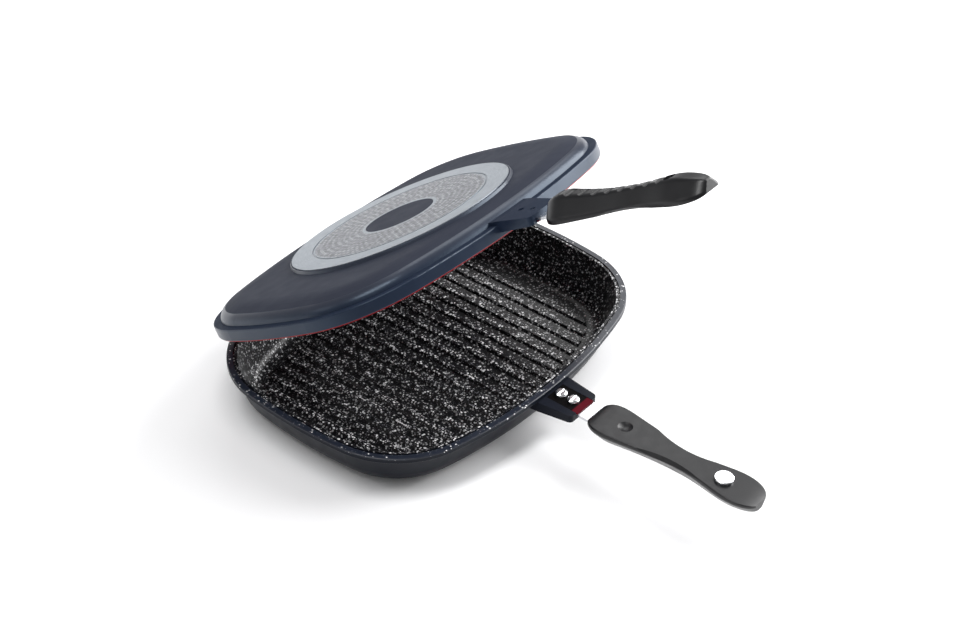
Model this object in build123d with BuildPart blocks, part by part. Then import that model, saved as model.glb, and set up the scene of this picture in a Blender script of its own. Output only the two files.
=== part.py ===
"""Hinged two-sided grill pan: two cast pans that close face to face like a book.

Millimetres, +Z up. The origin is the centre of the lower pan's base, in the plane it stands on.
X runs along the long side, the handles point to -Y and the hinge is at +Y. The lower pieces are
modelled first. Each lid piece is modelled closed, as the mirror twin of its lower piece or on its
own, and then swung open about the hinge pins to the angle at which the pan is shown.
"""
import os
from math import sqrt

from build123d import *

os.makedirs("parts", exist_ok=True)

# Outline that both pans share, seen from above
pan_width = 360.0
pan_depth = 278.0
side_bow = 470.0
corner_radius = 84.0

# Lower pan
lower_height = 45.0
flange_height = 5.0
flange_lip = 4.2
rim_round = 1.0
wall_draft = 18.0
base_round = 25.0
floor_thickness = 4.5
rim_width = 9.5
cavity_round = 14.0
drip_groove_inset = 5.6
drip_groove_width = 1.6
drip_groove_depth = 1.4

# Ribs on the lower pan's floor, running from front to back
rib_pitch = 14.3
rib_width = 8.6
rib_height = 2.0
rib_pairs = 9
rib_slope = 48.0
rib_end_draft = 40.0
rib_border = 4.0
floor_inset = 30.0

# Lid, in its closed position
seal_gap = 1.2
band_height = 10.5
band_ledge = 7.5
shoulder_height = 6.5
shoulder_draft = 12.0
crown_height = 22.0
crown_draft = 76.0
shoulder_round = 10.0
crown_round = 50.0
boss_height = 2.6
boss_diameter = 208.0
boss_draft = 20.0
boss_round = 0.8
boss_root = 1.5
lid_cavity_depth = 18.5
lid_wall_depth = 10.5
lid_wall_draft = 5.0
lid_cavity_draft = 60.0
lid_cavity_round = 9.0
lid_floor_round = 28.0

# Pressed steel base discs, one in each pan's outer face
disc_diameter = 205.0
disc_hole_diameter = 64.0
disc_thickness = 1.5
disc_proud = 0.6
disc_fit = 0.15
disc_ring_diameter = 164.0
disc_ring_width = 1.6
disc_ring_depth = 0.5

# Silicone seal in the lid's rim
seal_inset = 1.4
seal_width = 6.6
seal_root_inset = 2.6
seal_root_width = 3.2
seal_root_height = 2.4
seal_fit = 0.1
seal_clearance = 0.3

# Hinge
hinge_reach = 7.0
hinge_spacing = 130.0
knuckle_radius = 6.5
lid_knuckle_width = 12.0
pan_knuckle_width = 7.0
knuckle_gap = 0.3
knuckle_root = 3.0
pan_knuckle_low = 15.0
pan_knuckle_high = 9.0
pan_knuckle_inset = 8.5
lid_knuckle_low = 4.0
lid_knuckle_high = 9.0
lid_knuckle_inset = 3.0
pin_diameter = 5.0
pin_fit = 0.05
pin_head_diameter = 9.0
pin_head_height = 1.6
clip_thickness = 1.0
clip_width = 1.7
clip_mouth = 3.6
clip_bore = 4.0
clip_fit = 0.05
pin_tip = 1.6
pin_chamfer = 0.5
lid_open_angle = 31.5

# Handle bracket cast on each pan; depths are measured from the parting plane
bracket_length = 33.0
bracket_root_width = 46.0
bracket_tip_width = 36.0
bracket_root_overlap = 9.4
bracket_web = 6.0
bracket_toe_rise = 2.5
bracket_corner = 4.0
ear_depth = 4.5
screw_top_depth = 1.5

# Steel tang, its heat pad and its two screws
tang_width = 22.0
tang_thickness = 2.5
tang_start = 1.6
tang_head_length = 52.0
tang_tail_width = 14.0
tang_length = 182.0
tang_corner = 3.0
tang_neck_round = 1.8
tang_fit = 0.3
pad_thickness = 1.2
pad_length = 33.0
screw_diameter = 5.0
screw_head_diameter = 11.0
screw_head_height = 3.2
screw_fit = 0.1
screw_end_rise = 2.4
screw_stations = (8.5, 21.5)
screw_slot_width = 1.6
screw_slot_depth = 1.2
screw_head_round = 2.2

# Moulded grip: station from the pan's front edge, width, drop of its flat face, depth below it.
# Its sides stand upright for a share of the depth and then slope to a narrower crest.
grip_face_depth = 3.0
grip_sections = (
    (45.0, 20.0, 2.6, 11.0),
    (49.0, 32.0, 0.6, 15.5),
    (57.0, 39.0, 0.0, 19.0),
    (75.0, 38.0, 0.0, 18.5),
    (100.0, 31.0, 0.0, 16.0),
    (128.0, 23.6, 0.0, 15.5),
    (148.0, 24.0, 0.0, 16.0),
    (168.0, 30.5, 0.0, 17.5),
    (184.0, 35.0, 0.0, 18.0),
    (198.0, 33.0, 0.6, 15.5),
    (207.0, 25.0, 1.6, 12.0),
    (211.0, 14.0, 3.0, 7.5),
)
grip_side_share = 0.22
grip_crest_share = 0.36
grip_crest_round = 0.16
grip_side_round = 0.3
grip_edge_round = 0.06
tang_slot_fit = 0.15
thumb_station = 76.0
thumb_radius = 14.0
thumb_depth = 1.6

# Nine finger notches across the grip's outer crest and a long scoop in each edge of its waist
notch_first = 58.0
notch_pitch = 13.5
notch_count = 9
notch_length = 9.0
notch_radius = 5.0
notch_depth = 1.4
scoop_station = 132.0
scoop_edge = 11.8
scoop_radius = 125.0
scoop_depth = 2.1
scoop_reach = 12.0

# Chrome magnet button that holds the two grips together
button_station = 175.0
button_diameter = 16.5
button_height = 2.8
button_seat_depth = 2.0
button_fit = 0.15
magnet_diameter = 13.0
magnet_height = 3.2
button_round = 0.8

# Screw sunk in the grip's outer side, which holds grip and tang together behind the button
grip_screw_diameter = 4.0
grip_screw_head = 9.0
grip_screw_head_height = 2.2
grip_screw_recess = 10.0
grip_screw_seat = 29.5

# Planes and lines worked out from the sizes above
parting_height = lower_height + seal_gap / 2
lid_rim = lower_height + seal_gap
lid_crown = lid_rim + crown_height
lid_top = lid_crown + boss_height
front_edge = -pan_depth / 2
back_edge = pan_depth / 2
hinge_y = back_edge + hinge_reach
parting_plane = Plane.XY.offset(parting_height)
hinge_axis = Axis((0, hinge_y, parting_height), (1, 0, 0))
floor_top = disc_proud + floor_thickness
pad_top = parting_height - screw_top_depth - screw_head_height
tang_top = pad_top - pad_thickness
web_top = tang_top - tang_thickness
web_bottom = web_top - bracket_web
grip_face = parting_height - grip_face_depth
pan_knuckle_offset = (lid_knuckle_width + pan_knuckle_width) / 2 + knuckle_gap
hinge_half_width = pan_knuckle_offset + pan_knuckle_width / 2


def pan_outline(inset, height):
    """Sketch the outline of both pans at a height, set in from the rim's outer edge."""
    bow = side_bow - inset
    with BuildSketch(Plane.XY.offset(height)) as outline:
        with Locations((0, pan_depth / 2 - side_bow)):
            Circle(bow)
        with Locations((0, side_bow - pan_depth / 2)):
            Circle(bow, mode=Mode.INTERSECT)
        with Locations((pan_width / 2 - side_bow, 0)):
            Circle(bow, mode=Mode.INTERSECT)
        with Locations((side_bow - pan_width / 2, 0)):
            Circle(bow, mode=Mode.INTERSECT)
        fillet(outline.vertices(), corner_radius - inset)
    return outline.sketch


def rim_band(inset, width, height):
    """Sketch a band that follows the rim, between two insets."""
    with BuildSketch(Plane.XY.offset(height)) as band:
        add(pan_outline(inset, 0))
        add(pan_outline(inset + width, 0), mode=Mode.SUBTRACT)
    return band.sketch


def bottom_edges(builder):
    """The edges round a part's lowest face."""
    return builder.faces().sort_by(Axis.Z)[0].edges()


def top_edges(builder):
    """The edges round a part's highest face."""
    return builder.faces().sort_by(Axis.Z)[-1].edges()


def mouth_edges(face):
    """The edges round the opening in a rim's flat face."""
    return face.inner_wires()[0].edges()


def outline_retreat(x):
    """How far the bowed back edge lies inside the pan's depth at this x."""
    return side_bow - sqrt(side_bow**2 - x**2)


def station_y(station):
    """The y of a station measured outwards from the pan's front edge."""
    return front_edge - station


def lid_twin(piece):
    """Mirror a lower piece in the parting plane: its twin on the closed lid."""
    return mirror(piece, about=parting_plane, mode=Mode.PRIVATE)


def swing_open(piece):
    """Turn a closed lid piece about the hinge pins to the angle at which the pan stands open."""
    return piece.rotate(hinge_axis, -lid_open_angle)


def grip_depth(station):
    """The grip's depth at a station, read between its sections."""
    for (near, _, _, near_depth), (far, _, _, far_depth) in zip(grip_sections, grip_sections[1:]):
        if near <= station <= far:
            return near_depth + (far_depth - near_depth) * (station - near) / (far - near)


def knuckle(centre_x, width, root_low, root_high, root_inset):
    """A hinge knuckle: an eye round the pin on an arm that runs into the pan's wall."""
    root_y = back_edge - outline_retreat(centre_x) - root_inset
    with BuildPart() as eye:
        with BuildSketch(Plane.YZ.offset(centre_x - width / 2)):
            with Locations((hinge_y, parting_height)):
                Circle(knuckle_radius)
            with Locations((root_y, (root_low + root_high) / 2)):
                Rectangle(knuckle_root, root_high - root_low)
            make_hull()
        extrude(amount=width)
    return eye.part


def tang_outline(height, fit):
    """Sketch the tang at a height, widened all round by a fit: a broad head and a narrow tail."""
    with BuildSketch(Plane.XY.offset(height)) as outline:
        with Locations((0, station_y(tang_start))):
            head = (tang_width + 2 * fit, tang_head_length + fit)
            tail = (tang_tail_width + 2 * fit, tang_length + fit)
            Rectangle(*head, align=(Align.CENTER, Align.MAX))
            Rectangle(*tail, align=(Align.CENTER, Align.MAX))
        fillet(outline.vertices().group_by(Axis.Y)[1], tang_neck_round)
        fillet(outline.vertices().group_by(Axis.Y)[0], tang_corner)
    return outline.sketch


# Cast bracket: a web and two ears that hold the tang, tapered in plan and rising to the toe
with BuildPart() as bracket:
    with BuildSketch(Plane.XY.offset(web_bottom)):
        with BuildLine():
            Polyline(
                (-bracket_root_width / 2, front_edge + bracket_root_overlap),
                (-bracket_tip_width / 2, station_y(bracket_length)),
                (bracket_tip_width / 2, station_y(bracket_length)),
                (bracket_root_width / 2, front_edge + bracket_root_overlap),
                close=True,
            )
        make_face()
    extrude(amount=parting_height - ear_depth - web_bottom)
    fillet(bracket.edges().filter_by(Axis.Z).group_by(Axis.Y)[0], bracket_corner)
    with BuildSketch(Plane.YZ):
        with BuildLine():
            Polyline(
                (station_y(0), web_bottom),
                (station_y(bracket_length), web_bottom + bracket_toe_rise),
                (station_y(bracket_length), web_bottom),
                close=True,
            )
        make_face()
    extrude(amount=bracket_root_width, both=True, mode=Mode.SUBTRACT)

with BuildPart() as bracket_channel:
    with BuildSketch(Plane.XY.offset(web_top)):
        with Locations((0, station_y(tang_start - tang_fit))):
            channel_width = tang_width + 2 * tang_fit
            Rectangle(channel_width, bracket_length, align=(Align.CENTER, Align.MAX))
    extrude(amount=parting_height - web_top)
    with BuildSketch(Plane.XY.offset(web_bottom)):
        with Locations(*[(0, station_y(station)) for station in screw_stations]):
            Circle(screw_diameter / 2 + screw_fit)
    extrude(amount=web_top - web_bottom)

# Bores of the two hinge pins
with BuildPart() as hinge_bores:
    with BuildSketch(Plane.YZ):
        with Locations((hinge_y, parting_height)):
            Circle(pin_diameter / 2 + pin_fit)
    extrude(amount=hinge_spacing, both=True)

# Hollow of the lower pan: drafted walls with a wide round where they meet the floor
with BuildPart() as pan_hollow:
    extrude(
        pan_outline(rim_width, lower_height),
        amount=lower_height - floor_top,
        dir=(0, 0, -1),
        taper=wall_draft,
    )
    fillet(bottom_edges(pan_hollow), cavity_round)

# Ribs: trapezoid bars laid side by side and cut to the floor's own outline
with BuildPart() as ribs:
    with BuildSketch(Plane.XZ):
        with Locations(*[(i * rib_pitch, floor_top) for i in range(-rib_pairs, rib_pairs + 1)]):
            Trapezoid(rib_width, rib_height, rib_slope, align=(Align.CENTER, Align.MIN))
    extrude(amount=pan_depth / 2, both=True)
    extrude(
        pan_outline(floor_inset + rib_border, floor_top),
        amount=rib_height,
        taper=rib_end_draft,
        mode=Mode.INTERSECT,
    )

with BuildPart() as lower_pan:
    extrude(pan_outline(0, lower_height - flange_height), amount=flange_height)
    fillet(top_edges(lower_pan) + bottom_edges(lower_pan), rim_round)
    extrude(
        pan_outline(flange_lip, lower_height - flange_height),
        amount=lower_height - flange_height - disc_proud,
        dir=(0, 0, -1),
        taper=wall_draft,
    )
    fillet(bottom_edges(lower_pan), base_round)
    add(pan_hollow.part, mode=Mode.SUBTRACT)
    fillet(mouth_edges(lower_pan.faces().sort_by(Axis.Z)[-1]), rim_round)
    extrude(
        rim_band(drip_groove_inset, drip_groove_width, lower_height),
        amount=-drip_groove_depth,
        mode=Mode.SUBTRACT,
    )
    add(ribs.part)
    add(bracket.part)
    for side in (-1, 1):
        for offset in (-pan_knuckle_offset, pan_knuckle_offset):
            eye_x = side * hinge_spacing / 2 + offset
            add(
                knuckle(
                    eye_x,
                    pan_knuckle_width,
                    parting_height - pan_knuckle_low,
                    parting_height - pan_knuckle_high,
                    pan_knuckle_inset,
                )
            )
    add(bracket_channel.part, mode=Mode.SUBTRACT)
    add(hinge_bores.part, mode=Mode.SUBTRACT)
    with BuildSketch(Plane.XY.offset(disc_proud)):
        Circle(disc_diameter / 2 + disc_fit)
    extrude(amount=disc_thickness - disc_proud, mode=Mode.SUBTRACT)
    with BuildSketch():
        Circle(disc_hole_diameter / 2 - disc_fit)
    extrude(amount=disc_thickness)
lower_pan.part.label = "lower_pan"
export_step(lower_pan.part, "parts/lower_pan.step")

# Steel base disc, with one pressed ring groove outside its perforated middle
with BuildPart() as lower_base_disc:
    with BuildSketch():
        Circle(disc_diameter / 2)
        Circle(disc_hole_diameter / 2, mode=Mode.SUBTRACT)
    extrude(amount=disc_thickness)
    with BuildSketch():
        Circle(disc_ring_diameter / 2 + disc_ring_width / 2)
        Circle(disc_ring_diameter / 2 - disc_ring_width / 2, mode=Mode.SUBTRACT)
    extrude(amount=disc_ring_depth, mode=Mode.SUBTRACT)
lower_base_disc.part.label = "lower_base_disc"
export_step(lower_base_disc.part, "parts/lower_base_disc.step")

# Steel tang from the bracket's channel into the grip
with BuildPart() as lower_tang:
    extrude(tang_outline(web_top, 0), amount=tang_thickness)
    with BuildSketch(Plane.XY.offset(web_top)):
        with Locations(*[(0, station_y(station)) for station in screw_stations]):
            Circle(screw_diameter / 2 + screw_fit)
        with Locations((0, station_y(button_station))):
            Circle(grip_screw_diameter / 2 + screw_fit)
    extrude(amount=tang_thickness, mode=Mode.SUBTRACT)
lower_tang.part.label = "lower_tang"
export_step(lower_tang.part, "parts/lower_tang.step")

with BuildPart() as lower_tang_pad:
    with BuildSketch(Plane.XY.offset(tang_top)):
        with Locations((0, station_y(tang_start))):
            Rectangle(tang_width, pad_length, align=(Align.CENTER, Align.MAX))
        with Locations(*[(0, station_y(station)) for station in screw_stations]):
            Circle(screw_diameter / 2 + screw_fit, mode=Mode.SUBTRACT)
    extrude(amount=pad_thickness)
lower_tang_pad.part.label = "lower_tang_pad"
export_step(lower_tang_pad.part, "parts/lower_tang_pad.step")

# Two domed slotted screws, through pad, tang and web
with BuildPart() as lower_tang_screws:
    for station in screw_stations:
        with BuildSketch(Plane((0, station_y(station), web_bottom + screw_end_rise))):
            Circle(screw_diameter / 2)
        extrude(amount=pad_top - web_bottom - screw_end_rise)
        with BuildSketch(Plane((0, station_y(station), pad_top))):
            Circle(screw_head_diameter / 2)
        extrude(amount=screw_head_height)
    fillet(lower_tang_screws.faces().group_by(Axis.Z)[-1].edges(), screw_head_round)
    with BuildSketch(Plane.XY.offset(pad_top + screw_head_height)):
        with Locations(*[(0, station_y(station)) for station in screw_stations]):
            Rectangle(screw_head_diameter, screw_slot_width)
    extrude(amount=-screw_slot_depth, mode=Mode.SUBTRACT)
lower_tang_screws.part.label = "lower_tang_screws"
export_step(lower_tang_screws.part, "parts/lower_tang_screws.step")

# Finger notch: a groove with rounded ends
with BuildPart() as finger_notch:
    Cylinder(notch_radius, notch_length, rotation=(0, 90, 0))
    with Locations((-notch_length / 2, 0, 0), (notch_length / 2, 0, 0)):
        Sphere(notch_radius)

# Moulded grip: a loft of flat-faced sections, with its notches, scoops, slot, seat and screw hole
with BuildPart() as lower_grip:
    for station, width, drop, depth in grip_sections:
        section_plane = Plane((0, station_y(station), grip_face - drop), (1, 0, 0), (0, -1, 0))
        with BuildSketch(section_plane) as section:
            with BuildLine():
                Polyline(
                    (-width / 2, 0),
                    (width / 2, 0),
                    (width / 2, -depth * grip_side_share),
                    (width / 2 * grip_crest_share, -depth),
                    (-width / 2 * grip_crest_share, -depth),
                    (-width / 2, -depth * grip_side_share),
                    close=True,
                )
            make_face()
            fillet(section.vertices().group_by(Axis.Y)[0], width * grip_crest_round)
            fillet(section.vertices().group_by(Axis.Y)[-2], width * grip_side_round / 2)
            fillet(section.vertices().group_by(Axis.Y)[-1], depth * grip_edge_round)
    loft()
    for index in range(notch_count):
        station = notch_first + index * notch_pitch
        crest = grip_face - grip_depth(station)
        with Locations((0, station_y(station), crest - notch_radius + notch_depth)):
            add(finger_notch.part, mode=Mode.SUBTRACT)
    for side in (-1, 1):
        edge = (side * scoop_edge, station_y(scoop_station), grip_face)
        with BuildSketch(Plane(edge, (0, 1, 0), (1, 0, -side))):
            with Locations((0, scoop_radius - scoop_depth)):
                Circle(scoop_radius)
        extrude(amount=scoop_reach, both=True, mode=Mode.SUBTRACT)
    extrude(
        tang_outline(web_top - tang_slot_fit, tang_slot_fit),
        amount=tang_thickness + 2 * tang_slot_fit,
        mode=Mode.SUBTRACT,
    )
    with Locations((0, station_y(button_station), grip_face - button_seat_depth)):
        Cylinder(
            button_diameter / 2 + button_fit,
            button_seat_depth + button_height,
            align=(Align.CENTER, Align.CENTER, Align.MIN),
            mode=Mode.SUBTRACT,
        )
    with Locations((0, station_y(thumb_station), grip_face + thumb_radius - thumb_depth)):
        Sphere(thumb_radius, mode=Mode.SUBTRACT)
    with BuildSketch(Plane.XY):
        with Locations((0, station_y(button_station))):
            Circle(grip_screw_diameter / 2 + screw_fit)
    extrude(amount=tang_top + tang_slot_fit, mode=Mode.SUBTRACT)
    with BuildSketch(Plane.XY):
        with Locations((0, station_y(button_station))):
            Circle(grip_screw_recess / 2)
    extrude(amount=grip_screw_seat, mode=Mode.SUBTRACT)
lower_grip.part.label = "lower_grip"
export_step(lower_grip.part, "parts/lower_grip.step")

# Magnet and its chrome button, seated in the grip's flat face
with BuildPart() as lower_magnet:
    with Locations((0, station_y(button_station), grip_face - button_seat_depth)):
        Cylinder(magnet_diameter / 2, magnet_height, align=(Align.CENTER, Align.CENTER, Align.MIN))
lower_magnet.part.label = "lower_magnet"
export_step(lower_magnet.part, "parts/lower_magnet.step")

with BuildPart() as lower_magnet_button:
    with Locations((0, station_y(button_station), grip_face - button_seat_depth)):
        Cylinder(
            button_diameter / 2,
            button_seat_depth + button_height,
            align=(Align.CENTER, Align.CENTER, Align.MIN),
        )
        Cylinder(
            magnet_diameter / 2 + button_fit,
            magnet_height + button_fit,
            align=(Align.CENTER, Align.CENTER, Align.MIN),
            mode=Mode.SUBTRACT,
        )
    fillet(top_edges(lower_magnet_button), button_round)
lower_magnet_button.part.label = "lower_magnet_button"
export_step(lower_magnet_button.part, "parts/lower_magnet_button.step")

# Screw sunk in the grip's outer side, which clamps grip and tang together behind the button
with BuildPart() as lower_grip_screw:
    with BuildSketch(Plane((0, station_y(button_station), grip_screw_seat))):
        Circle(grip_screw_diameter / 2)
    extrude(amount=tang_top - grip_screw_seat)
    with BuildSketch(Plane((0, station_y(button_station), grip_screw_seat))):
        Circle(grip_screw_head / 2)
    extrude(amount=-grip_screw_head_height)
lower_grip_screw.part.label = "lower_grip_screw"
export_step(lower_grip_screw.part, "parts/lower_grip_screw.step")

# Hinge pins, each with a head, a groove and an open retaining clip
for name, side in (("left", -1), ("right", 1)):
    pin_plane = Plane(
        (side * hinge_spacing / 2, hinge_y, parting_height), x_dir=(0, 1, 0), z_dir=(side, 0, 0)
    )
    with BuildPart() as hinge_pin:
        with BuildSketch(pin_plane.offset(-hinge_half_width - pin_head_height)):
            Circle(pin_head_diameter / 2)
        extrude(amount=pin_head_height)
        with BuildSketch(pin_plane.offset(-hinge_half_width)):
            Circle(pin_diameter / 2)
        extrude(amount=2 * hinge_half_width + clip_thickness + 2 * clip_fit + pin_tip)
        with BuildSketch(pin_plane.offset(hinge_half_width)):
            Circle(pin_diameter / 2)
            Circle(clip_bore / 2 - clip_fit, mode=Mode.SUBTRACT)
        extrude(amount=clip_thickness + 2 * clip_fit, mode=Mode.SUBTRACT)
        chamfer(hinge_pin.faces().sort_by(Axis.X)[-1 if side > 0 else 0].edges(), pin_chamfer)
    hinge_pin.part.label = f"hinge_pin_{name}"
    export_step(hinge_pin.part, f"parts/hinge_pin_{name}.step")

    with BuildPart() as hinge_clip:
        with BuildSketch(pin_plane.offset(hinge_half_width + clip_fit)):
            Circle(clip_bore / 2 + clip_width)
            Circle(clip_bore / 2, mode=Mode.SUBTRACT)
            with Locations((0, clip_bore)):
                Rectangle(clip_mouth, 2 * clip_bore, mode=Mode.SUBTRACT)
        extrude(amount=clip_thickness)
    hinge_clip.part.label = f"hinge_clip_{name}"
    export_step(hinge_clip.part, f"parts/hinge_clip_{name}.step")

# Hollow of the lid: a steep wall, a wide rounded corner and a flat cooking face
with BuildPart() as lid_hollow:
    extrude(pan_outline(rim_width, lid_rim), amount=lid_wall_depth, taper=lid_wall_draft)
    extrude(
        lid_hollow.faces().sort_by(Axis.Z)[-1],
        amount=lid_cavity_depth - lid_wall_depth,
        taper=lid_cavity_draft,
    )
    fillet(top_edges(lid_hollow), lid_floor_round)
    knee = lid_hollow.edges().filter_by(GeomType.CIRCLE).filter_by_position(
        Axis.Z, lid_rim + lid_wall_depth - 0.1, lid_rim + lid_wall_depth + 0.1
    )
    fillet(knee, lid_cavity_round)

with BuildPart() as closed_lid:
    extrude(pan_outline(0, lid_rim), amount=band_height)
    fillet(top_edges(closed_lid) + bottom_edges(closed_lid), rim_round)
    extrude(
        pan_outline(band_ledge, lid_rim + band_height), amount=shoulder_height, taper=shoulder_draft
    )
    extrude(
        closed_lid.faces().sort_by(Axis.Z)[-1],
        amount=crown_height - band_height - shoulder_height,
        taper=crown_draft,
    )
    fillet(top_edges(closed_lid), crown_round)
    shoulder = lid_rim + band_height + shoulder_height
    knee = closed_lid.edges().filter_by(GeomType.CIRCLE).filter_by_position(
        Axis.Z, shoulder - 0.1, shoulder + 0.1
    )
    fillet(knee, shoulder_round)
    with BuildSketch(Plane.XY.offset(lid_top)):
        Circle(boss_diameter / 2)
    extrude(amount=boss_height + boss_root, dir=(0, 0, -1), taper=-boss_draft)
    fillet(top_edges(closed_lid), boss_round)
    add(lid_hollow.part, mode=Mode.SUBTRACT)
    fillet(mouth_edges(closed_lid.faces().sort_by(Axis.Z)[0]), rim_round)
    extrude(
        rim_band(seal_root_inset, seal_root_width, lid_rim),
        amount=seal_root_height + seal_fit,
        mode=Mode.SUBTRACT,
    )
    add(lid_twin(bracket.part))
    for side in (-1, 1):
        add(
            knuckle(
                side * hinge_spacing / 2,
                lid_knuckle_width,
                parting_height + lid_knuckle_low,
                parting_height + lid_knuckle_high,
                lid_knuckle_inset,
            )
        )
    add(lid_twin(bracket_channel.part), mode=Mode.SUBTRACT)
    add(hinge_bores.part, mode=Mode.SUBTRACT)
    with BuildSketch(Plane.XY.offset(lid_top)):
        Circle(disc_diameter / 2 + disc_fit)
    extrude(amount=disc_proud - disc_thickness, mode=Mode.SUBTRACT)
    with BuildSketch(Plane.XY.offset(lid_top + disc_proud)):
        Circle(disc_hole_diameter / 2 - disc_fit)
    extrude(amount=-disc_thickness)

with BuildPart() as upper_pan:
    add(swing_open(closed_lid.part))
upper_pan.part.label = "upper_pan"
export_step(upper_pan.part, "parts/upper_pan.step")

with BuildPart() as closed_disc:
    with BuildSketch(Plane.XY.offset(lid_top + disc_proud)):
        Circle(disc_diameter / 2)
        Circle(disc_hole_diameter / 2, mode=Mode.SUBTRACT)
    extrude(amount=-disc_thickness)
    with BuildSketch(Plane.XY.offset(lid_top + disc_proud)):
        Circle(disc_ring_diameter / 2 + disc_ring_width / 2)
        Circle(disc_ring_diameter / 2 - disc_ring_width / 2, mode=Mode.SUBTRACT)
    extrude(amount=-disc_ring_depth, mode=Mode.SUBTRACT)

with BuildPart() as upper_base_disc:
    add(swing_open(closed_disc.part))
upper_base_disc.part.label = "upper_base_disc"
export_step(upper_base_disc.part, "parts/upper_base_disc.step")

# Silicone seal: a lip under the lid's rim and a root in its groove
with BuildPart() as closed_seal:
    extrude(
        rim_band(seal_inset, seal_width, lower_height + seal_clearance),
        amount=seal_gap - seal_clearance,
    )
    extrude(
        rim_band(seal_root_inset + seal_fit, seal_root_width - 2 * seal_fit, lid_rim),
        amount=seal_root_height,
    )

with BuildPart() as lid_seal:
    add(swing_open(closed_seal.part))
lid_seal.part.label = "lid_seal"
export_step(lid_seal.part, "parts/lid_seal.step")

# The lid's handle pieces are the twins of the lower pan's
twins = {
    "upper_tang": lower_tang,
    "upper_tang_pad": lower_tang_pad,
    "upper_tang_screws": lower_tang_screws,
    "upper_grip": lower_grip,
    "upper_magnet": lower_magnet,
    "upper_magnet_button": lower_magnet_button,
    "upper_grip_screw": lower_grip_screw,
}
for name, lower_piece in twins.items():
    with BuildPart() as upper_piece:
        add(swing_open(lid_twin(lower_piece.part)))
    upper_piece.part.label = name
    export_step(upper_piece.part, f"parts/{name}.step")
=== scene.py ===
import math

import bpy
import numpy as np
from mathutils import Matrix, Vector

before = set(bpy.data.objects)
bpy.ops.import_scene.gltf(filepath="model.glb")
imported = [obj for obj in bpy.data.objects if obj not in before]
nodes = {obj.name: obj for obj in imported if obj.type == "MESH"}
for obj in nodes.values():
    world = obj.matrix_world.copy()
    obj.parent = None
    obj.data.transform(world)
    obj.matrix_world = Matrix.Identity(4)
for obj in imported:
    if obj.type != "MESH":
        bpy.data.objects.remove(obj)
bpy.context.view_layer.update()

# Sizes of the pan in metres, as in the CAD source
pan_width = 0.360
pan_depth = 0.278
side_bow = 0.470
corner_radius = 0.084
rim_width = 0.0095
rim_round = 0.001
rim_groove = 0.0056
floor_top = 0.0051
lower_height = 0.045
parting_height = 0.0456
lid_crown = 0.0682
disc_hole_radius = 0.032
disc_ring_radius = 0.082
hinge = Vector((0, 0.146, parting_height))
lid_open_angle = math.radians(31.5)
closing = Matrix.Rotation(lid_open_angle, 3, "X")

# Where its looks change, in metres
# Height from which painted shade dims the granite's specks up the cavity's walls
wall_foot = 0.011
rim_depth = 0.002
crown_fall = 0.012
# Heights below the crown where its painted sheen starts and where it is full
crown_sheen_from = 0.0105
crown_sheen_full = 0.0045
disc_line_width = 0.0018
dots_inner = disc_hole_radius + 0.003
dots_outer = disc_ring_radius - 0.002
dot_pitch = 0.0055
dot_size = 0.003
pad_red_start = 0.028

# Telling faces apart: a normal's Z at the crown's edge and on upright walls, a margin in metres
crown_slope = 0.966
upright = 0.02
tolerance = 0.0002


# Materials

def paint(red, green, blue):
    """A linear colour from the 0 to 255 values seen on a screen."""
    linear = [
        ((value / 255 + 0.055) / 1.055) ** 2.4 if value > 10 else value / 255 / 12.92
        for value in (red, green, blue)
    ]
    return (*linear, 1)


def lighter(colour, factor):
    return (*(value * factor for value in colour[:3]), 1)


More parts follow.
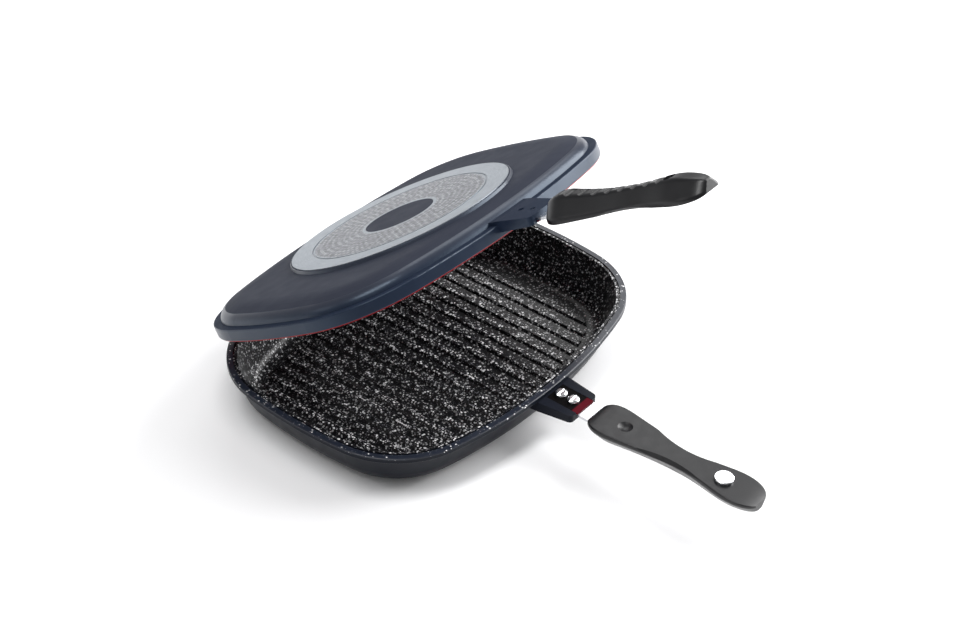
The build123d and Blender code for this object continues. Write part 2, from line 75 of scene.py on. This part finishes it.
class Finish:
    """A procedural material under construction: its node tree and its surface shader.

    Its pattern lies in the pan's own frame or, with on_lid, in the frame of the closed lid.
    """

    def __init__(self, name, colour, roughness, metallic=0.0, specular=0.5, on_lid=False):
        self.material = bpy.data.materials.new(name)
        self.material.use_nodes = True
        self.tree = self.material.node_tree
        self.surface = self.tree.nodes["Principled BSDF"]
        self.surface.inputs["Base Color"].default_value = colour
        self.surface.inputs["Roughness"].default_value = roughness
        self.surface.inputs["Metallic"].default_value = metallic
        self.surface.inputs["Specular IOR Level"].default_value = specular
        self.place = self.add("ShaderNodeTexCoord").outputs["Object"]
        if on_lid:
            shift = hinge - closing @ hinge
            self.place = self.mapped(self.place, shift, (lid_open_angle, 0, 0), (1, 1, 1))

    def add(self, kind, **settings):
        node = self.tree.nodes.new(kind)
        for key, value in settings.items():
            setattr(node, key, value)
        return node

    def join(self, value, socket):
        """Feed a socket from an output, or set it to a number or a colour."""
        if isinstance(value, bpy.types.NodeSocket):
            self.tree.links.new(value, socket)
        else:
            socket.default_value = value

    def mapped(self, place, location, rotation, scale):
        node = self.add("ShaderNodeMapping")
        node.inputs["Location"].default_value = location
        node.inputs["Rotation"].default_value = rotation
        node.inputs["Scale"].default_value = scale
        self.join(place, node.inputs["Vector"])
        return node.outputs["Vector"]

    def math(self, operation, first, second=0.0):
        node = self.add("ShaderNodeMath", operation=operation)
        self.join(first, node.inputs[0])
        self.join(second, node.inputs[1])
        return node.outputs["Value"]

    def length(self, first, second):
        """The length of a flat vector from its two parts."""
        squares = [self.math("MULTIPLY", part, part) for part in (first, second)]
        return self.math("SQRT", self.math("ADD", *squares))

    def noise(self, scale, detail=3.0, stretch=None, place=None):
        """Cloudy noise, drawn out along an axis where stretch says so."""
        place = place or self.place
        if stretch:
            place = self.mapped(place, (0, 0, 0), (0, 0, 0), stretch)
        noise = self.add("ShaderNodeTexNoise")
        noise.inputs["Scale"].default_value = scale
        noise.inputs["Detail"].default_value = detail
        self.join(place, noise.inputs["Vector"])
        return noise.outputs["Fac"]

    def spread(self, value, low, high, new_low, new_high):
        """Stretch a value from one range to another, with soft ends."""
        node = self.add("ShaderNodeMapRange", clamp=True, interpolation_type="SMOOTHSTEP")
        self.join(value, node.inputs["Value"])
        node.inputs["From Min"].default_value = low
        node.inputs["From Max"].default_value = high
        node.inputs["To Min"].default_value = new_low
        node.inputs["To Max"].default_value = new_high
        return node.outputs["Result"]

    def blend(self, factor, first, second):
        """Mix two colours, each given as a colour or as an output."""
        node = self.add("ShaderNodeMix", data_type="RGBA")
        self.join(factor, node.inputs["Factor"])
        first_colour, second_colour, mixed = node.inputs[6], node.inputs[7], node.outputs[2]
        self.join(first, first_colour)
        self.join(second, second_colour)
        return mixed

    def colour(self, value):
        self.join(value, self.surface.inputs["Base Color"])

    def roughness(self, value, low, high):
        self.join(self.spread(value, 0.3, 0.7, low, high), self.surface.inputs["Roughness"])

    def bump(self, height, distance):
        node = self.add("ShaderNodeBump")
        node.inputs["Distance"].default_value = distance
        self.join(height, node.inputs["Height"])
        self.join(node.outputs["Normal"], self.surface.inputs["Normal"])

    def split(self, place):
        node = self.add("ShaderNodeSeparateXYZ")
        self.join(place, node.inputs["Vector"])
        return node.outputs["X"], node.outputs["Y"], node.outputs["Z"]

    def polar(self):
        """Distance from the upright axis through the centre, and the turn about it from 0 to 1."""
        x, y, _ = self.split(self.place)
        radius = self.length(x, y)
        turn = self.math("ADD", self.math("DIVIDE", self.math("ARCTAN2", y, x), 2 * math.pi), 0.5)
        return radius, turn

    def specks(self, scale, share, small, large):
        """Ragged specks in a share of the cells, of mixed size and brightness."""
        ragged = self.add("ShaderNodeTexNoise")
        ragged.inputs["Scale"].default_value = scale * 1.6
        self.join(self.place, ragged.inputs["Vector"])
        shift = self.add("ShaderNodeVectorMath", operation="MULTIPLY_ADD")
        self.join(ragged.outputs["Color"], shift.inputs[0])
        shift.inputs[1].default_value = [0.45 / scale] * 3
        self.join(self.place, shift.inputs[2])
        cells = self.add("ShaderNodeTexVoronoi")
        cells.inputs["Scale"].default_value = scale
        self.join(shift.outputs["Vector"], cells.inputs["Vector"])
        red, green, blue = self.split(cells.outputs["Color"])
        chosen = self.math("GREATER_THAN", red, 1 - share)
        reach = self.math("MULTIPLY", chosen, self.spread(green, 0, 1, small, large))
        depth = self.math("SUBTRACT", reach, cells.outputs["Distance"])
        inside = self.spread(depth, 0.0, 0.1, 0.0, 1.0)
        return self.math("MULTIPLY", inside, self.spread(blue, 0.0, 1.0, 0.25, 1.0))

    def dots(self, pitch, dot_radius, inner, outer):
        """Round dots in rings about the centre, and the zone between two radii that they fill."""
        radius, turn = self.polar()
        ring = self.math("FLOOR", self.math("DIVIDE", radius, pitch))
        ring_radius = self.math("MULTIPLY", self.math("ADD", ring, 0.5), pitch)
        count = self.math("ROUND", self.math("MULTIPLY", ring_radius, 2 * math.pi / pitch))
        along = self.math("SUBTRACT", self.math("FRACT", self.math("MULTIPLY", turn, count)), 0.5)
        along = self.math("MULTIPLY", along, pitch)
        across = self.math("SUBTRACT", radius, ring_radius)
        reach = self.length(along, across)
        dot = self.spread(reach, dot_radius * 0.8, dot_radius * 1.2, 1.0, 0.0)
        soft = 0.0004
        past_inner = self.spread(radius, inner - soft, inner + soft, 0.0, 1.0)
        short_of_outer = self.spread(radius, outer - soft, outer + soft, 1.0, 0.0)
        zone = self.math("MULTIPLY", past_inner, short_of_outer)
        return self.math("MULTIPLY", dot, zone), zone


def enamel(name, colour, roughness, specular):
    """Satin stoved enamel with a faint orange peel and slight clouds."""
    finish = Finish(name, colour, roughness, specular=specular)
    finish.colour(finish.blend(finish.noise(35), colour, lighter(colour, 1.12)))
    finish.roughness(finish.noise(60), roughness - 0.04, roughness + 0.05)
    finish.bump(finish.noise(900, 2.0), 0.00002)
    return finish.material


def dome_enamel(name, roughness, specular):
    """The lid's enamel: dark blue on the shoulder and band, made greyer up on the crown by a
    painted sheen.
    """
    finish = Finish(name, paint(26, 36, 54), roughness, specular=specular, on_lid=True)
    finish.surface.inputs["Specular Tint"].default_value = (0.66, 0.82, 1, 1)
    _, _, z = finish.split(finish.place)
    # The crown's grey is a painted sheen, blended in by height on the closed lid.
    crown = finish.spread(z, lid_crown - crown_sheen_from, lid_crown - crown_sheen_full, 0.0, 1.0)
    shoulder = finish.blend(finish.noise(35), paint(24, 32, 48), paint(30, 39, 56))
    grey = finish.blend(finish.noise(35), paint(40, 43, 54), paint(46, 49, 60))
    finish.colour(finish.blend(crown, shoulder, grey))
    finish.roughness(finish.noise(60), roughness - 0.01, roughness + 0.05)
    finish.bump(finish.noise(500, 1.0), 0.000004)
    return finish.material


def granite(name, coarse_share, fine_share, dark, pale, roughness, specular):
    """Non-stick coating speckled with white and grey.

    In the lower pan its specks are dimmed by painted shade between the ribs and up the cavity's
    walls, and full on the rim.
    """
    finish = Finish(name, dark, roughness, specular=specular)
    _, _, z = finish.split(finish.place)
    # Painted shade: specks dimmed in the grooves between the ribs and up the cavity's walls, full
    # again on the rim
    groove_shade = finish.spread(z, floor_top + 0.0004, floor_top + 0.0018, 0.5, 1.0)
    wall_shade = finish.spread(z, wall_foot, wall_foot + 0.007, 1.0, 0.7)
    rim = finish.spread(z, lower_height - rim_depth, lower_height - rim_depth / 4, 0.0, 1.0)
    speck_shade = finish.math("MULTIPLY", groove_shade, finish.math("MAXIMUM", wall_shade, rim))
    coarse = finish.specks(470, coarse_share, 0.34, 0.56)
    fine = finish.specks(800, fine_share, 0.3, 0.5)
    base = finish.blend(finish.noise(160), dark, pale)
    dusted = finish.blend(finish.math("MULTIPLY", fine, speck_shade), base, paint(146, 146, 152))
    specked = finish.blend(finish.math("MULTIPLY", coarse, speck_shade), dusted, paint(252, 252, 254))
    finish.colour(specked)
    finish.roughness(finish.noise(500), roughness - 0.02, roughness + 0.06)
    finish.bump(finish.noise(1500, 2.0), 0.00004)
    return finish.material


def brushed(name, colour, roughness):
    """Brushed steel, with its marks drawn out from the handles towards the hinge."""
    finish = Finish(name, colour, roughness, metallic=1.0)
    marks = finish.noise(1400, 4.0, (1, 0.02, 1))
    finish.roughness(marks, roughness - 0.06, roughness + 0.08)
    finish.bump(marks, 0.00001)
    return finish.material


def base_disc(name, on_lid):
    """Ground steel disc: turning marks, pale dots in a mottled zone and a thin line round it."""
    finish = Finish(name, paint(168, 175, 183), 0.34, metallic=0.9, on_lid=on_lid)
    dot, zone = finish.dots(dot_pitch, dot_size / 2, dots_inner, dots_outer)
    radius, turn = finish.polar()
    ring_place = finish.add("ShaderNodeCombineXYZ")
    finish.join(radius, ring_place.inputs["X"])
    finish.join(finish.math("MULTIPLY", turn, 0.02), ring_place.inputs["Y"])
    marks = finish.noise(2600, 4.0, place=ring_place.outputs["Vector"])
    clouds = finish.noise(70)
    plain = finish.blend(clouds, paint(134, 142, 151), paint(152, 160, 168))
    patches = finish.spread(finish.noise(210), 0.35, 0.65, 0.0, 1.0)
    pierced = finish.blend(patches, paint(78, 81, 88), paint(120, 123, 130))
    field = finish.blend(zone, plain, pierced)
    faded = finish.math("MULTIPLY", dot, finish.spread(finish.noise(260), 0.38, 0.62, 0.15, 1.0))
    from_line = finish.math("ABSOLUTE", finish.math("SUBTRACT", radius, disc_ring_radius))
    line = finish.spread(from_line, 0.0, disc_line_width / 2, 1.0, 0.0)
    dotted = finish.blend(faded, field, paint(172, 176, 182))
    finish.colour(finish.blend(finish.math("MULTIPLY", line, 0.6), dotted, paint(104, 108, 116)))
    finish.roughness(marks, 0.28, 0.44)
    finish.bump(finish.math("SUBTRACT", marks, dot), 0.00002)
    return finish.material


def chrome(name):
    """Polished chrome with faint haze."""
    finish = Finish(name, paint(238, 239, 242), 0.2, metallic=1.0)
    finish.roughness(finish.noise(300), 0.16, 0.24)
    return finish.material


def rubber(name, colour, roughness):
    """Matte silicone with a slight bloom."""
    finish = Finish(name, colour, roughness, specular=0.3)
    finish.roughness(finish.noise(200), roughness - 0.05, roughness + 0.06)
    finish.bump(finish.noise(1200, 2.0), 0.00002)
    return finish.material


def heat_pad(name, on_lid):
    """Pad that is black under the screw heads and dark red at its outer end."""
    finish = Finish(name, paint(5, 4, 5), 0.5, specular=0.05, on_lid=on_lid)
    _, y, _ = finish.split(finish.place)
    edge = -pan_depth / 2 - pad_red_start
    red = finish.spread(y, edge - 0.0006, edge + 0.0006, 1.0, 0.0)
    finish.colour(finish.blend(red, paint(5, 4, 5), paint(80, 10, 23)))
    finish.roughness(finish.noise(200), 0.45, 0.58)
    finish.bump(finish.noise(1200, 2.0), 0.00002)
    return finish.material


def moulded(name, colour):
    """Moulded phenolic plastic with a fine grain."""
    finish = Finish(name, colour, 0.34, specular=0.4)
    finish.colour(finish.blend(finish.noise(50), colour, lighter(colour, 1.3)))
    finish.roughness(finish.noise(120), 0.31, 0.39)
    finish.bump(finish.noise(1800, 2.0), 0.00002)
    return finish.material


navy = enamel("navy_enamel", paint(14, 18, 28), 0.36, 0.13)
slate = dome_enamel("slate_enamel", 0.3, 0.4)
# The crown's enamel, greyed by the same painted sheen as the lid's dome
crown_sheen_enamel = dome_enamel("crown_enamel", 0.6, 0.1)
stone = granite("granite_coating", 0.5, 0.55, paint(3, 3, 4), paint(14, 14, 17), 0.3, 0.24)
rim_stone = granite("rim_coating", 0.1, 0.1, paint(18, 23, 34), paint(27, 33, 46), 0.3, 0.5)
lower_disc_steel = base_disc("lower_disc_steel", False)
upper_disc_steel = base_disc("upper_disc_steel", True)
tang_steel = brushed("tang_steel", paint(214, 215, 219), 0.2)
pin_steel = brushed("pin_steel", paint(170, 171, 175), 0.3)
magnet_steel = brushed("magnet_steel", paint(120, 120, 126), 0.4)
screw_chrome = chrome("screw_chrome")
seal_red = rubber("seal_red", paint(158, 17, 27), 0.5)
lower_pad = heat_pad("lower_pad", False)
upper_pad = heat_pad("upper_pad", True)
grip_plastic = moulded("grip_plastic", paint(13, 13, 16))

finishes = {
    "lower_pan": ("pan_coating", navy),
    "upper_pan": ("lid_coating", slate),
    "lower_base_disc": ("base_disc", lower_disc_steel),
    "upper_base_disc": ("base_disc", upper_disc_steel),
    "lid_seal": ("seal_silicone", seal_red),
    "lower_tang": ("tang_steel", tang_steel),
    "upper_tang": ("tang_steel", tang_steel),
    "lower_tang_pad": ("pad_silicone", lower_pad),
    "upper_tang_pad": ("pad_silicone", upper_pad),
    "lower_tang_screws": ("screw_chrome", screw_chrome),
    "upper_tang_screws": ("screw_chrome", screw_chrome),
    "lower_grip": ("grip_plastic", grip_plastic),
    "upper_grip": ("grip_plastic", grip_plastic),
    "lower_grip_screw": ("screw_chrome", screw_chrome),
    "upper_grip_screw": ("screw_chrome", screw_chrome),
    "lower_magnet": ("magnet_steel", magnet_steel),
    "upper_magnet": ("magnet_steel", magnet_steel),
    "lower_magnet_button": ("button_chrome", screw_chrome),
    "upper_magnet_button": ("button_chrome", screw_chrome),
    "hinge_pin_left": ("pin_steel", pin_steel),
    "hinge_pin_right": ("pin_steel", pin_steel),
    "hinge_clip_left": ("pin_steel", pin_steel),
    "hinge_clip_right": ("pin_steel", pin_steel),
}
for name, (slot, material) in finishes.items():
    nodes[name].data.materials.clear()
    nodes[name].data.materials.append(material)


def inset(points):
    """How far points lie inside the outline that both pans share."""
    x, y = np.abs(points[:, 0]), np.abs(points[:, 1])
    bow_x, bow_y = pan_width / 2 - side_bow, pan_depth / 2 - side_bow
    reach = side_bow - corner_radius
    gap = math.hypot(bow_x, bow_y)
    half = math.acos(gap / 2 / reach)
    lean = math.atan2(-bow_y, bow_x) - half
    corner_x = reach * math.cos(lean)
    corner_y = bow_y + reach * math.sin(lean)
    turn = np.arctan2(y - corner_y, x - corner_x)
    long_side = side_bow - np.hypot(x, y - bow_y)
    short_side = side_bow - np.hypot(x - bow_x, y)
    corner = corner_radius - np.hypot(x - corner_x, y - corner_y)
    on_corner = (turn > math.atan2(corner_y, corner_x - bow_x)) & (
        turn < math.atan2(corner_y - bow_y, corner_x)
    )
    sides = np.minimum(long_side, short_side)
    return np.where(on_corner & (x > corner_x) & (y > corner_y), corner, sides)


def face_values(mesh, kind):
    """One vector for each face of a mesh: its centre or its normal."""
    values = np.zeros(len(mesh.polygons) * 3, np.float32)
    mesh.polygons.foreach_get(kind, values)
    return values.reshape(-1, 3)


def more_materials(node, on_lid, zones):
    """Give the faces of a CAD node that each test picks a further material.

    The tests see a lid as it lies when closed.
    """
    mesh = nodes[node].data
    centres, normals = face_values(mesh, "center"), face_values(mesh, "normal")
    if on_lid:
        turn = np.array(closing).T
        centres = (centres - np.array(hinge)) @ turn + np.array(hinge)
        normals = normals @ turn
    index = np.zeros(len(mesh.polygons), np.int32)
    for material, chosen in zones:
        mesh.materials.append(material)
        index[chosen(centres, normals)] = len(mesh.materials) - 1
    mesh.polygons.foreach_set("material_index", index)
    mesh.update()


def pan_coated(centres, normals):
    """The cavity and the inner part of the rim."""
    cavity = (inset(centres) > rim_width - tolerance) & (centres[:, 2] > floor_top - tolerance)
    rim = (inset(centres) > rim_groove) & (centres[:, 2] > lower_height - rim_depth)
    return (cavity | rim) & (normals[:, 2] > upright)


def rim_coated(centres, normals):
    """The outer part of the rim's top, with its rounded edge."""
    beyond = (inset(centres) > -rim_round) & (inset(centres) <= rim_groove)
    return beyond & (centres[:, 2] > lower_height - rim_depth) & (normals[:, 2] > upright)


def lid_coated(centres, normals):
    """The lid's hollow, within its rim."""
    return (inset(centres) > rim_width - tolerance) & (normals[:, 2] < -upright)


def lid_crowned(centres, normals):
    """The nearly flat top of the lid, up to where its shoulder bends down."""
    return (normals[:, 2] > crown_slope) & (centres[:, 2] > lid_crown - crown_fall)


more_materials("lower_pan", False, [(stone, pan_coated), (rim_stone, rim_coated)])
more_materials("upper_pan", True, [(stone, lid_coated), (crown_sheen_enamel, lid_crowned)])

# Pale floor just under the pan, camera and light
floor_gap = 0.0002
bpy.ops.mesh.primitive_plane_add(size=12, location=(0, 0, -floor_gap))
floor = bpy.context.object
floor.name = "floor"
floor_finish = Finish("floor_white", paint(247, 247, 248), 0.9)
floor.data.materials.append(floor_finish.material)

camera_azimuth = math.radians(-49.45)
camera_elevation = math.radians(39.53)
camera_distance = 1.8082
back = Vector((
    math.sin(camera_azimuth) * math.cos(camera_elevation),
    -math.cos(camera_azimuth) * math.cos(camera_elevation),
    math.sin(camera_elevation),
))
camera = bpy.data.objects.new("camera", bpy.data.cameras.new("camera"))
bpy.context.scene.collection.objects.link(camera)
bpy.context.scene.camera = camera
camera.location = back * camera_distance
camera.rotation_mode = "QUATERNION"
camera.rotation_quaternion = (-back).to_track_quat("-Z", "Y")
camera.data.lens = 75
camera.data.sensor_width = 36
camera.data.shift_x = 0.05195
camera.data.shift_y = 0.04139


def soft_box(name, place, size, power):
    """A large area light aimed at the pan."""
    data = bpy.data.lights.new(name, "AREA")
    data.shape = "RECTANGLE"
    data.size, data.size_y = size
    data.energy = power
    light = bpy.data.objects.new(name, data)
    bpy.context.scene.collection.objects.link(light)
    light.location = place
    light.rotation_mode = "QUATERNION"
    light.rotation_quaternion = (Vector(place) * -1).to_track_quat("-Z", "Y")


soft_box("key_light", (1.75, -0.80, 1.05), (2.0, 1.9), 95)
soft_box("back_light", (1.25, 0.98, 1.42), (1.25, 1.0), 11)
soft_box("top_light", (-0.6, 0.1, 1.9), (0.5, 1.3), 23)
soft_box("left_light", (-1.5, 1.3, 0.9), (1.0, 0.6), 3)

world = bpy.data.worlds.new("studio")
bpy.context.scene.world = world
world.use_nodes = True
sky = world.node_tree.nodes["Background"]
sky.inputs["Color"].default_value = (1, 1, 1, 1)
sky.inputs["Strength"].default_value = 0.3
bpy.context.scene.view_settings.view_transform = "Standard"
